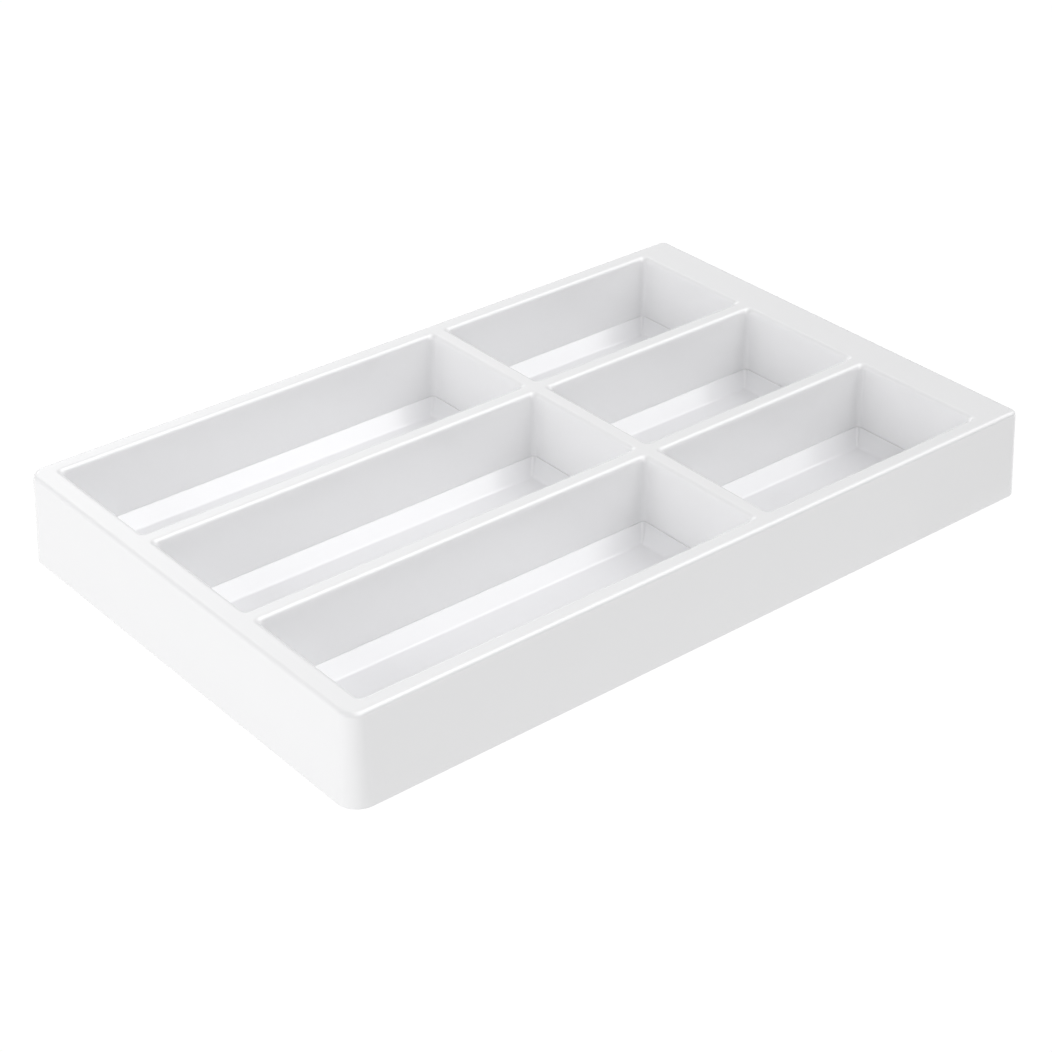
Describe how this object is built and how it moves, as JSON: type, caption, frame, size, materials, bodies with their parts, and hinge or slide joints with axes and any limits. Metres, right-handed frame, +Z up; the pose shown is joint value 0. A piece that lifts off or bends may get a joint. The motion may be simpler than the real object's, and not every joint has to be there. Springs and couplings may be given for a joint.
{
  "type": "cutlery tray",
  "caption": "White moulded drawer tray with long and short pockets for cutlery, a lift-out trough liner in each pocket and soft feet underneath.",
  "frame": {"origin": "middle of the footprint, on the surface the feet stand on", "axes": "+Y from the front edge (narrow rim) to the back edge (wide rim), +X to the right, +Z up"},
  "size_m": [0.3098, 0.4788, 0.055],
  "materials": {
    "white_moulding": "satin gloss",
    "white_liner": "satin",
    "soft_foot": "matt"
  },
  "bodies": {
    "tray": {"tray_body": "white_moulding", "foot_front_left": "soft_foot", "foot_front_right": "soft_foot", "foot_middle_left": "soft_foot", "foot_middle_right": "soft_foot", "foot_back_left": "soft_foot", "foot_back_right": "soft_foot"},
    "long_liner_left": {"long_liner_left": "white_liner"},
    "long_liner_middle": {"long_liner_middle": "white_liner"},
    "long_liner_right": {"long_liner_right": "white_liner"},
    "short_liner_left": {"short_liner_left": "white_liner"},
    "short_liner_middle": {"short_liner_middle": "white_liner"},
    "short_liner_right": {"short_liner_right": "white_liner"}
  },
  "joints": [
    {"name": "long_liner_left_lift", "type": "slide", "parent": "tray", "child": "long_liner_left", "axis": [0, 0, 1], "range_m": [0, 0.07]},
    {"name": "long_liner_middle_lift", "type": "slide", "parent": "tray", "child": "long_liner_middle", "axis": [0, 0, 1], "range_m": [0, 0.07]},
    {"name": "long_liner_right_lift", "type": "slide", "parent": "tray", "child": "long_liner_right", "axis": [0, 0, 1], "range_m": [0, 0.07]},
    {"name": "short_liner_left_lift", "type": "slide", "parent": "tray", "child": "short_liner_left", "axis": [0, 0, 1], "range_m": [0, 0.07]},
    {"name": "short_liner_middle_lift", "type": "slide", "parent": "tray", "child": "short_liner_middle", "axis": [0, 0, 1], "range_m": [0, 0.07]},
    {"name": "short_liner_right_lift", "type": "slide", "parent": "tray", "child": "short_liner_right", "axis": [0, 0, 1], "range_m": [0, 0.07]}
  ]
}
